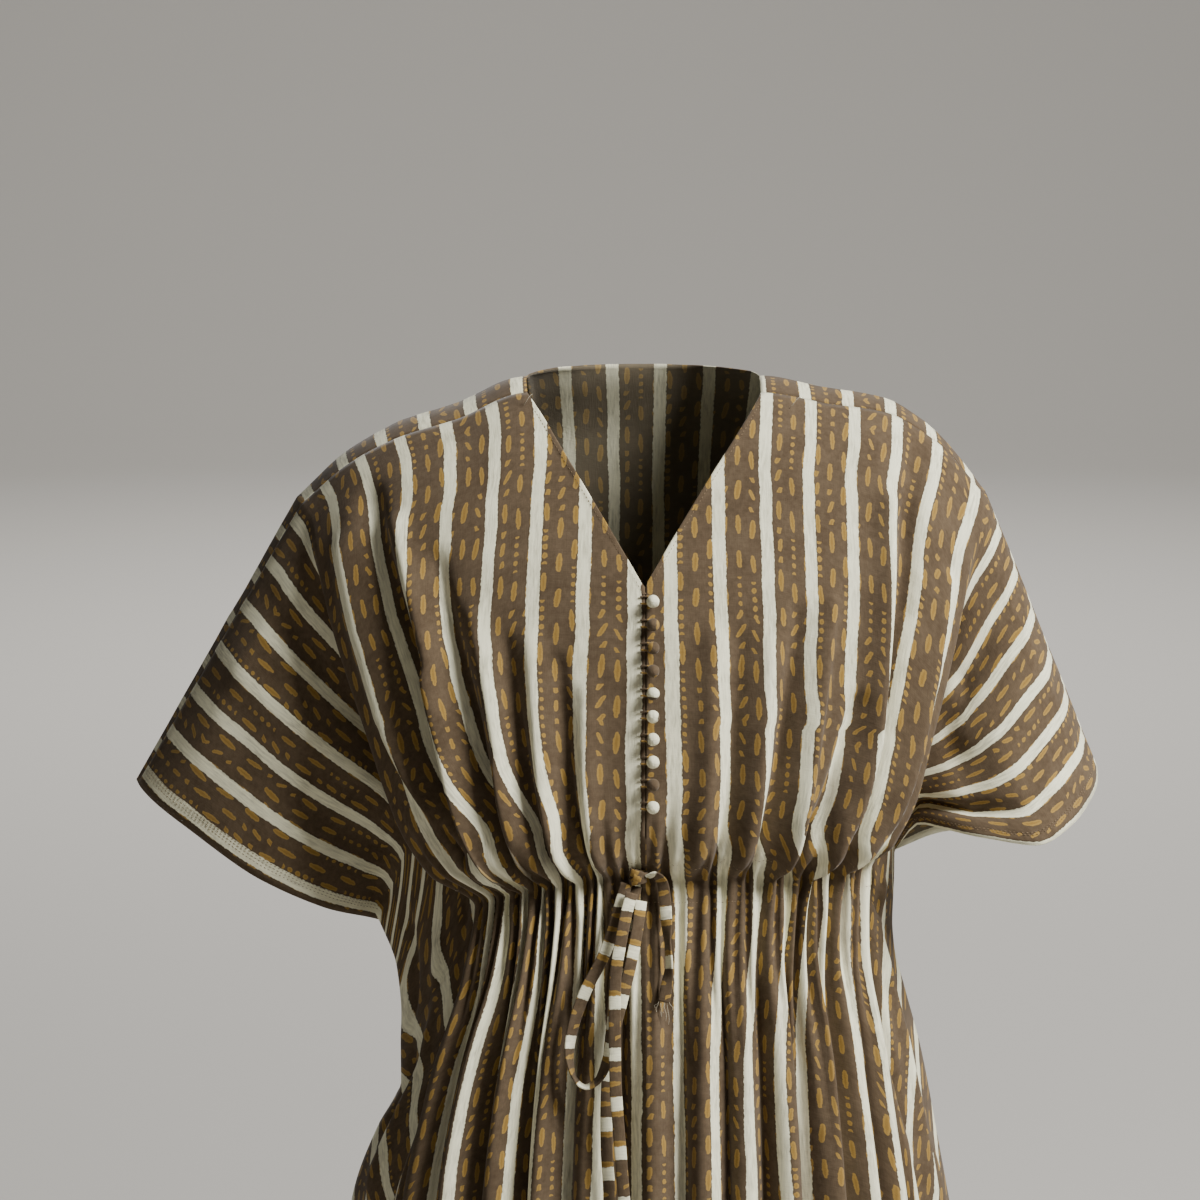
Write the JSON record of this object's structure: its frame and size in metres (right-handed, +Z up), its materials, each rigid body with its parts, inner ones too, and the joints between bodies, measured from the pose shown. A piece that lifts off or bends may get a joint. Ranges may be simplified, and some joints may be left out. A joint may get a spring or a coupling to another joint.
{
  "type": "kaftan",
  "caption": "Loose cotton kaftan with batwing sleeves, V neck with a short buttoned slit and a gathered drawstring waist tied in a bow, in its worn, hollow form.",
  "frame": {"origin": "base of the neck, midway between the two neck points, where the wearer's shoulders hold the garment", "axes": "+Z up, -Y towards the front, +X towards the wearer's left"},
  "size_m": [0.7547, 0.4343, 1.1166],
  "materials": {
    "printed_cotton": "matt plain-weave cotton, block printed with cream stripes and ochre dashes on brown",
    "button_cotton": "matt cotton pulled over a ball",
    "loop_cotton": "thin rolled cotton cord",
    "tie_cotton": "flat sewn cotton tie, stripes across it"
  },
  "bodies": {
    "root": {"front": "printed_cotton", "back": "printed_cotton", "button_01": "button_cotton", "button_02": "button_cotton", "button_03": "button_cotton", "button_04": "button_cotton", "button_05": "button_cotton", "button_06": "button_cotton", "button_07": "button_cotton", "button_08": "button_cotton", "button_09": "button_cotton", "button_10": "button_cotton", "loop_01": "loop_cotton", "loop_02": "loop_cotton", "loop_03": "loop_cotton", "loop_04": "loop_cotton", "loop_05": "loop_cotton", "loop_06": "loop_cotton", "loop_07": "loop_cotton", "loop_08": "loop_cotton", "loop_09": "loop_cotton", "loop_10": "loop_cotton", "tie_knot": "tie_cotton", "tie_bow_loop": "tie_cotton", "tie_short_end": "tie_cotton", "tie_long_end": "tie_cotton", "tie_back_end": "tie_cotton"}
  },
  "joints": []
}
